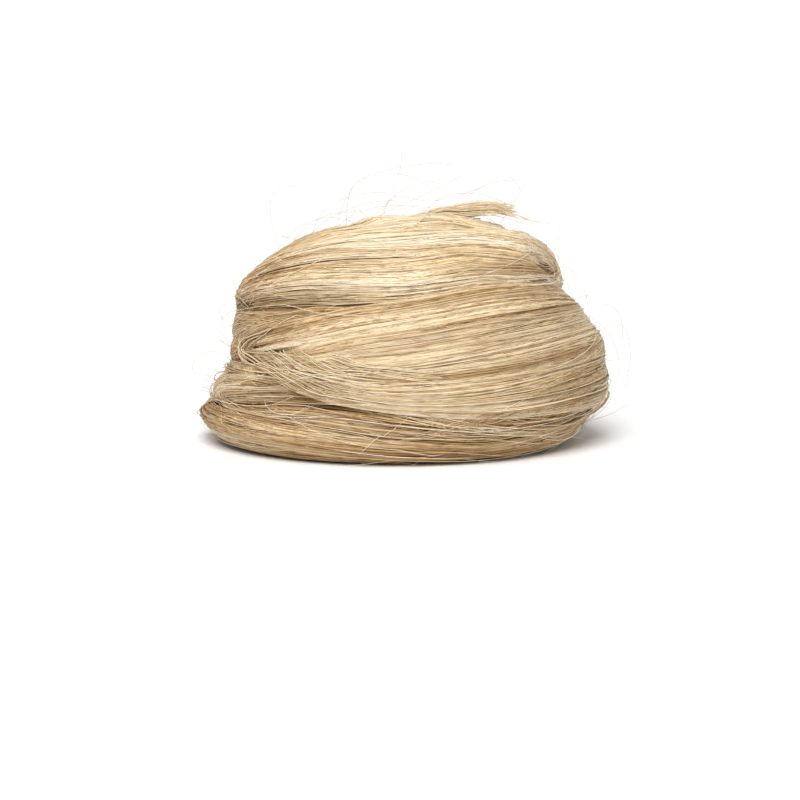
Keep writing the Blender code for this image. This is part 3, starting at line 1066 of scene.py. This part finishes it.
# dark hairs laid in the eye: painted shade for the hollow where the hair turns in
eyeShadowRows = (
    Drawn(26, 0.026, 0.0004, -0.10, ((320, 35.1), (334, 34.7), (344, 34.0), (351, 33.0))),
    Drawn(5, 0.004, 0.0007, 0.00, ((308, 35.6), (320, 35.5), (332, 35.2))),
    Drawn(5, 0.004, 0.0010, 0.00, ((316, 33.1), (327, 32.7), (338, 32.3))),
    Drawn(5, 0.004, 0.0009, 0.00, ((328, 31.0), (340, 30.6), (348, 31.0))),
)
drawnRng = np.random.default_rng(drawnForm["seed"])


def laid(rows):
    return [layDrawn(row, drawnForm, drawnRng) for row in rows]


hairPiece(
    "top_coil_hair",
    "blonde_hair",
    [layWisps(topFront, topFrontFlow), layWisps(eyeHair, eyeFlow)] + laid(eyeRows),
)
hairPiece(
    "top_coil_back_hair",
    "blonde_hair",
    [layWisps(topRound, topRoundFlow), layWisps(topSwirl, topSwirlFlow)],
)

# Dark hair that lies in the grooves between the locks: painted shade, its dark tone stands in for
# the shade in the grooves

grooveHair = {
    "seed": 80, "wisps": 8, "hairs": 13, "steps": 20, "start": (0, 360), "span": (140, 200),
    "width": (0.15, 0.35), "wander": 0.15, "stray": 0.10, "drift": 0.5, "cross": 0.3,
    "thick": (0.0001, 0.0005), "lift": -0.0007, "radius": 0.00009,
    "warm": (0.5, 1.0),
}
grooveFlows = (
    fullTurn(0.93, 1.00, 1.07),
    fullTurn(1.93, 2.00, 2.07),
    fullTurn(2.93, 3.00, 3.07),
    fullTurn(3.93, 4.00, 4.03),
)
grooveShadeTones = ((0.02, 0.36), (0.02, 0.36), (0.30, 0.60), (0.16, 0.46))
hairPiece(
    "groove_and_eye_shade_hair",
    "shaded_hair",
    [
        layWisps({**grooveHair, "seed": grooveHair["seed"] + k, "tone": tone}, flow)
        for k, (flow, tone) in enumerate(zip(grooveFlows, grooveShadeTones))
    ]
    + laid(eyeShadowRows),
)

# Hair that climbs from the bottom lock's tip, at the left, onto the lower lock
tipHair = {
    "seed": 91, "wisps": 12, "hairs": 16, "steps": 18, "start": (100, 164), "end": (198, 236),
    "width": (0.10, 0.22), "wander": 0.05, "stray": 0.05, "drift": 0.20, "cross": 0.10,
    "thick": (0.0002, 0.0005), "lift": 0.0002, "radius": 0.00008,
    "tone": (0.44, 0.76), "warm": (0.20, 0.65),
}
tipFlow = (
    Flow(100, 0.20, 0.55, 0.90),
    Flow(140, 0.46, 0.78, 0.99),
    Flow(152, 0.56, 0.88, 1.55),
    Flow(160, 0.64, 0.94, 2.08),
    Flow(170, 0.76, 1.30, 2.24),
    Flow(178, 0.86, 1.95, 2.42),
    Flow(186, 1.20, 2.20, 2.56),
    Flow(197, 2.02, 2.44, 2.70),
    Flow(215, 2.26, 2.58, 2.80),
    Flow(240, 2.40, 2.64, 2.84),
)
leftRows = (
    Drawn(
        20, 0.26, 0.0005, 0.58,
        ((186, 15.6), (188, 13.2), (190.5, 10.9), (196, 9.5), (207, 8.6), (222, 7.8), (246, 6.4)),
    ),
    Drawn(10, 0.26, 0.0004, 0.55, ((174, 23.6), (183, 25.6), (192, 27.2), (206, 27.4), (224, 27.6))),
    Drawn(5, 0.30, 0.0004, 0.55, ((184, 12.5), (187, 16.0), (191, 18.9), (194, 22), (198, 26))),
    Drawn(5, 0.12, 0.0006, 0.62, ((217, 14.8), (209, 16.6), (204, 19.4), (207, 22.4))),
    Drawn(9, 0.22, 0.0003, 0.60, ((168, 27), (178, 31), (190, 35), (204, 38.4), (222, 41))),
    Drawn(9, 0.20, 0.0004, 0.58, ((172, 21), (182, 23.4), (194, 25.0), (208, 25.8), (226, 27.0))),
)
# Hair that turns back in the fold between the middle lock and the lower one
foldRows = (
    Drawn(
        14, 0.12, 0.0013, 0.60,
        (
            (238, 27.0), (222, 24.4), (213, 22.7), (207, 21.0), (205.5, 19.6), (208, 18.4),
            (215, 17.6), (226, 16.3), (239, 14.5), (256, 12.9),
        ),
    ),
    Drawn(
        14, 0.14, 0.0012, 0.64,
        ((212, 19.8), (219, 18.6), (228, 16.9), (238, 15.4), (251, 13.9), (270, 12.8)),
    ),
    Drawn(
        16, 0.14, 0.0013, 0.70,
        ((219, 20.0), (225, 18.8), (231, 17.2), (239, 15.9), (252, 14.6), (274, 13.4)),
    ),
    Drawn(
        16, 0.14, 0.0013, 0.74,
        ((226, 20.6), (231, 19.4), (236, 18.0), (244, 16.9), (256, 16.0), (280, 15.0)),
    ),
    Drawn(14, 0.13, 0.0013, 0.74, ((233, 20.4), (239, 19.0), (246, 17.8), (257, 16.8), (282, 16.0))),
    Drawn(12, 0.13, 0.0012, 0.76, ((241, 20.6), (248, 19.2), (257, 18.0), (274, 17.2), (296, 16.8))),
    Drawn(8, 0.10, 0.0004, 0.45, ((206, 19.4), (208, 16.8), (215, 15.4), (223, 14.2))),
    Drawn(6, 0.08, 0.0005, 0.70, ((206, 13.2), (215, 14.4), (223, 15.6))),
)
# Darker wisps that climb across the lower right
lowRightRows = (
    Drawn(24, 0.20, 0.0005, 0.22, ((296, 6.6), (312, 10.2), (328, 13.9), (346, 17.2), (366, 19))),
    Drawn(24, 0.20, 0.0005, 0.18, ((304, 6.9), (318, 10.3), (334, 12.6), (351, 15.2), (372, 17))),
    Drawn(20, 0.18, 0.0005, 0.28, ((288, 4.4), (306, 7.0), (321, 10.1), (338, 12.8), (360, 15))),
    Drawn(18, 0.20, 0.0013, 0.45, ((316, 4.6), (334, 6.0), (349, 7.8), (364, 9.0), (382, 9.6))),
    Drawn(14, 0.12, 0.0005, 0.45, ((294, 11.8), (314, 15.5), (332, 18.2), (352, 20.6), (372, 22))),
    Drawn(22, 0.20, 0.0007, 0.50, ((262, 4.6), (276, 6.4), (290, 8.8), (304, 11.2), (322, 13.4))),
    Drawn(
        22, 0.22, 0.0007, 0.56,
        ((258, 11.6), (274, 9.8), (290, 7.8), (306, 6.2), (326, 5.4), (346, 6.2)),
    ),
    Drawn(18, 0.20, 0.0007, 0.48, ((280, 11.0), (296, 9.2), (312, 7.8), (328, 7.8), (346, 9.0))),
)
hairPiece(
    "crossing_hair",
    "blonde_hair",
    [layWisps(tipHair, tipFlow)] + laid(leftRows + foldRows + lowRightRows),
)

# Loose ends: the hair comes over the dome from the left, leaves it and frays towards its tips

looseEnds = {
    "seed": 51, "steps": 16, "back": 0.016, "headShare": (0.3, 1), "length": 0.0250,
    "ragged": 0.30, "width": 0.0056, "narrowing": 0.25, "thick": 0.0024, "rootThick": 0.3,
    "thickenOver": 3, "tipThinner": 0.25, "fray": 0.9, "turns": ((0.4, 1), (1, 2)),
    "curl": 0.0005, "rootCurl": 0.3, "landing": 0.005, "clear": 0.8, "tuck": 0.0014,
    "radius": 0.00008, "radiusSpread": (0.7, 1.2), "tip": 0.3, "thinnest": 0.4,
    "tone": (0.30, 0.80), "tipTone": 0.1, "warm": (0.25, 0.75),
    "castFrom": 0.08, "castTo": 0.030, "castPlaces": 60, "closing": 9,
}
# how high the ends' middle is at a distance along them
looseProfile = (
    (-0.016, 0.0385), (-0.004, 0.0422), (0.001, 0.0431), (0.006, 0.0438), (0.010, 0.0445),
    (0.0135, 0.0452), (0.017, 0.0457), (0.021, 0.0453), (0.025, 0.0446),
)
# turn is where each end points, aside, length and width are shares of the lengths above, and
# drop is how far its tip hangs below the profile
LooseEnd = namedtuple("LooseEnd", "turn aside length width drop hairs")
endRows = (
    LooseEnd(8, 0.28, 0.86, 0.80, 0.0000, 85),
    LooseEnd(-2, 0.00, 0.88, 0.95, 0.0002, 85),
    LooseEnd(-10, -0.28, 0.80, 0.80, 0.0006, 45),
    LooseEnd(-4, 0.00, 1.08, 0.70, 0.0010, 10),
    LooseEnd(-3, -0.10, 1.14, 0.70, 0.0024, 10),
)


def domeHeights(places):
    down = Vector((0, 0, -1))
    tops = [outside.ray_cast(Vector((x, y, looseEnds["castFrom"])), down)[0].z for x, y in places]
    x, y = np.array(places).T
    return filled(np.array([tops]), looseEnds["closing"])[0] - settledBy(x, y)


def layLooseEnd(row, form, rng):
    turn = math.radians(row.turn)
    way = np.array((math.cos(turn), math.sin(turn), 0))
    aside = np.array((-math.sin(turn), math.cos(turn), 0))
    root = aside * row.aside * form["width"]
    length = form["length"] * row.length
    every = (row.hairs, 1)
    share = np.linspace(0, 1, form["steps"] + 1)
    head = -form["back"] * rng.uniform(*form["headShare"], every)
    tail = length * (1 - form["ragged"] * rng.uniform(0, 1, every) ** 2)
    run = head + (tail - head) * share
    spread = np.clip(run / length, 0, 1)
    free = spread**2
    spot, out = rng.uniform(0, 2 * math.pi, every), np.sqrt(rng.uniform(0, 1, every))
    narrow = 1 - form["narrowing"] + form["narrowing"] * np.cos(math.pi * spread)
    broad = narrow + form["fray"] * free**2
    beside = out * np.cos(spot) * form["width"] / 2 * row.width * broad
    curl = wave(rng, every, share, *form["turns"]) * form["curl"]
    beside = beside + curl * (form["rootCurl"] + free)
    reach = np.linspace(-form["back"], form["castTo"], form["castPlaces"])
    base = np.interp(run, reach, domeHeights([(root + way * far)[:2] for far in reach]))
    profile = np.interp(run, *np.array(looseProfile).T) - row.drop * free
    grown = form["rootThick"] + (1 - form["rootThick"]) * ease(spread * form["thickenOver"])
    thick = form["thick"] / 2 * grown * (1 - form["tipThinner"] * free)
    laidOn = ease((run - head) / form["landing"])
    high = np.maximum(profile, base + thick * form["clear"]) + thick * out * np.sin(spot) * laidOn
    high = high - form["tuck"] * (1 - laidOn)
    high = high + wave(rng, every, share, *form["turns"]) * form["curl"] * free
    flat = root + way * run[..., None] + aside * beside[..., None]
    points = np.stack((flat[..., 0], flat[..., 1], high), -1)
    radius = thinned(form["radius"], form, rng, every, ease((1 - share) / form["tip"]))
    tone = rng.uniform(*form["tone"], every) + form["tipTone"] * spread
    warm = rng.uniform(*form["warm"], every)
    return strandSet(points, np.array((0.0, 0, 1)), radius, tone, warm)


tuftRng = np.random.default_rng(looseEnds["seed"])
tuftSets = [layLooseEnd(row, looseEnds, tuftRng) for row in endRows]
tuft = hairPiece("loose_ends_hair", "blonde_hair", tuftSets)
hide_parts("loose_ends")

# Stray hairs that lie across the rest

straySingles = {
    "seed": 61, "wisps": 44, "hairs": 1, "steps": 16, "start": (0, 360), "span": (35, 95),
    "width": (0.01, 0.02), "wander": 0.01, "stray": 0.01, "drift": 0.09, "cross": 0.0,
    "thick": (0.0004, 0.0010), "lift": 0.0004, "radius": 0.00006,
    "tone": (0.75, 1.05), "warm": (0.05, 0.45),
}
straySinglesFlow = fullTurn(0.25, 2.60, 4.85)
strayForm = {"points": 15, "swell": 0.7, "tuck": 0.0002, "tone": 0.95, "warm": 0.2}
StrayHair = namedtuple("StrayHair", "angle height endAngle endHeight lift")
strayRows = (
    StrayHair(288, 0.0335, 339, 0.0395, 0.0012),
    StrayHair(300, 0.0150, 350, 0.0225, 0.0012),
    StrayHair(255, 0.0020, 274, 0.0105, 0.0010),
    StrayHair(292, 0.0090, 318, 0.0150, 0.0009),
    StrayHair(216, 0.0080, 262, 0.0098, 0.0007),
    StrayHair(200, 0.0170, 232, 0.0275, 0.0007),
    StrayHair(207, 0.0290, 246, 0.0400, 0.0008),
    StrayHair(196, 0.0310, 232, 0.0425, 0.0008),
    StrayHair(322, 0.0060, 350, 0.0100, 0.0010),
    StrayHair(240, 0.0040, 300, 0.0012, 0.0010),
)


def layStray(row, form):
    share = np.linspace(0, 1, form["points"])
    angle = row.angle + (row.endAngle - row.angle) * share
    heights = row.height + (row.endHeight - row.height) * share
    level = np.array([levelAt(*place) for place in zip(angle, heights)])
    lift = row.lift * np.sin(math.pi * share) ** form["swell"] - form["tuck"]
    points, normals = raised(angle, level, lift)
    radius = straySingles["radius"]
    return strandSet(points[None], normals[None], radius, form["tone"], form["warm"])


# Flyaways: fine single hairs that stand off the bun. Each row is a depth, then places to the
# right and up, in millimetres
flyaway = {"radius": 0.00004, "tone": 0.50, "warm": 0.25, "steps": 24, "lean": 0.003}
flyawayRows = (
    (1, ((-18, 39), (-16, 43.9), (-12.5, 46.5), (-8, 47.9), (-3.4, 48.2))),
    (-2, ((-11, 41), (-9.7, 49.7), (-3.4, 52.9), (5.2, 54.3), (9.8, 54))),
    (3, ((-5, 42), (-2.2, 47.9), (-0.5, 52.6), (-0.2, 56))),
    (-3, ((-8, 42), (-3.4, 44.8), (5.8, 49.1), (13.3, 53.2))),
    (2, ((-4, 43), (-1.6, 47.4), (5.8, 46.5), (13.8, 48.5), (19, 51.4))),
    (0, ((18, 41), (21.3, 46.2), (22.7, 49.1), (20.1, 52.3))),
    (4, ((-24, 36), (-25.6, 42), (-25.7, 46.8), (-23.4, 49.1), (-20.6, 49.1))),
    (2, ((28, 34), (30.2, 38.1), (30.7, 41.6))),
    (-2, ((32, 27), (39.1, 22.4), (41.9, 16.6), (41.4, 10.9), (38.5, 6.2), (31, 1.6))),
    (5, ((37, 20), (43, 22), (45, 16), (44, 9))),
    (4, ((-34, 12), (-40.7, 12.4), (-40.9, 14.9), (-37.8, 16.6), (-32, 15.5))),
    (0, ((34, 3), (40.2, 5.1), (44, 7.4))),
    (-4, ((-6, 42), (-14, 44), (-20, 42), (-25, 37))),
    (-6, ((-10, 41), (-4, 46), (1, 50), (8, 51.5))),
    (6, ((2, 42), (8, 47), (15, 47.5), (22, 45))),
    (-8, ((-2, 42), (4, 45.5), (12, 46), (20, 42))),
    (0, ((-29, 26), (-34, 25), (-35.5, 22), (-33, 19), (-30, 19))),
    (3, ((-30, 24), (-33.5, 26.5), (-36, 25), (-35, 22.5))),
    (-5, ((-15, 40), (-9, 44.8), (-2, 46.4), (6, 46.2), (12, 48.6))),
    (2, ((-20, 38), (-15, 42.6), (-8, 45.8), (-1, 46.6))),
    (5, ((-13, 41), (-11.5, 46), (-8, 50.4), (-2, 51.6), (3, 50.6))),
    (-4, ((6, 42), (11, 47.2), (17, 50.6), (22, 51.4))),
    (0, ((-22, 37), (-20, 40.6), (-15, 44), (-9, 45))),
    (-7, ((26, 34), (31.5, 34.6), (34.5, 31), (35.6, 27))),
    (3, ((33, 22), (38.5, 26.2), (42.6, 24.2), (43.4, 19))),
)


def layFlyaway(depth, places):
    knots = np.array([(x, depth, z) for x, z in places]) / 1000
    points = curveAt(knots, np.linspace(0, len(knots) - 1, flyaway["steps"] + 1))
    points[:, 1] += np.linspace(0, flyaway["lean"], len(points)) * (1 if depth > 0 else -1)
    facing = np.array((0.0, -1, 0))
    return strandSet(points[None], facing, flyaway["radius"], flyaway["tone"], flyaway["warm"])


# Fuzz all round, of short hairs with a free end and arcs with none
fuzz = {
    "seed": 71, "hairs": 260, "steps": 12, "levels": (0.2, 4.7), "span": (14, 48), "climb": 0.25,
    "wander": 0.03, "turns": ((0.3, 1), (1, 2)), "reach": (0.0006, 0.0034), "free": 0.6,
    "curl": 1.6, "tuck": 0.0005, "tip": 0.15, "radius": 0.00004, "tone": (0.40, 1.0),
    "warm": (0.1, 0.5),
}


def layFuzz(group):
    rng = np.random.default_rng(group["seed"])
    every = (group["hairs"], 1)
    share = np.linspace(0, 1, group["steps"] + 1)
    way = rng.choice((-1, 1), every)
    level = rng.uniform(*group["levels"], every)
    angle = rng.uniform(0, 360, every) + way * rng.uniform(*group["span"], every) * share
    level = level + rng.uniform(-1, 1, every) * group["climb"] * share
    level = level + group["wander"] * wave(rng, every, share, *group["turns"])
    reach = rng.uniform(*group["reach"], every)
    free = rng.uniform(0, 1, every) < group["free"]
    lift = np.where(free, share ** group["curl"], np.sin(math.pi * share)) * reach
    lift = lift - group["tuck"] * (1 - ease(share / group["tip"]))
    points, normals = raised(angle, level, lift)
    tone, warm = rng.uniform(*group["tone"], every), rng.uniform(*group["warm"], every)
    return strandSet(points, normals, group["radius"], tone, warm)


hairPiece(
    "stray_hair",
    "blonde_hair",
    [layWisps(straySingles, straySinglesFlow)]
    + [layStray(row, strayForm) for row in strayRows]
    + [layFlyaway(*row) for row in flyawayRows]
    + [layFuzz(fuzz)],
)
print(f"hair laid: {sum(hairTriangles)} triangles")

# The floor, the light and the camera

studio = {
    "floorSize": 60.0,
    "floor": {"Base Color": (0.92, 0.92, 0.92, 1), "Roughness": 0.9, "Specular IOR Level": 0.1},
    "skyColour": (1, 1, 1, 1),
    "sky": 0.53,
    "sun": 3.15,
    "sunFrom": (-0.13, -1.0, 1.0),
    "sunWidth": 34.0,  # degrees
}


def makeFloor():
    bpy.ops.mesh.primitive_plane_add(size=studio["floorSize"])
    floor = bpy.context.active_object
    floor.name = "floor"
    made, wire = newMaterial("pale_floor")
    finishMaterial(wire, studio["floor"])
    floor.data.materials.append(made)
    floor.select_set(False)


def aimed(made, place, target):
    made.location = place
    made.rotation_euler = (Vector(target) - Vector(place)).to_track_quat("-Z", "Y").to_euler()
    bpy.context.scene.collection.objects.link(made)
    return made


def makeSun():
    light = bpy.data.lights.new("sun", "SUN")
    light.energy = studio["sun"]
    light.angle = math.radians(studio["sunWidth"])
    aimed(bpy.data.objects.new("sun", light), studio["sunFrom"], (0, 0, 0))


def makeSky():
    world = bpy.data.worlds.new("studio")
    bpy.context.scene.world = world
    world.use_nodes = True
    background = world.node_tree.nodes["Background"]
    background.inputs["Color"].default_value = studio["skyColour"]
    background.inputs["Strength"].default_value = studio["sky"]


# The picture is 800 pixels wide and high
view = {
    "elevation": 8.0,
    "distance": 0.6,
    "aim": (-0.0005, 0, 0.00782),
    "metresPerPixel": 0.0001956,  # at the bun's middle
    "pixels": 800,
    "sensor": 36.0,
}


def makeCamera():
    lens = bpy.data.cameras.new("camera")
    lens.sensor_width = view["sensor"]
    shown = view["pixels"] * view["metresPerPixel"]
    lens.lens = view["sensor"] * view["distance"] / shown
    tilt = math.radians(view["elevation"])
    back = Vector((0, -math.cos(tilt), math.sin(tilt))) * view["distance"]
    made = bpy.data.objects.new("camera", lens)
    bpy.context.scene.camera = aimed(made, Vector(view["aim"]) + back, view["aim"])


makeFloor()
makeSun()
makeSky()
makeCamera()
bpy.context.scene.view_settings.view_transform = "Standard"
print("studio made")
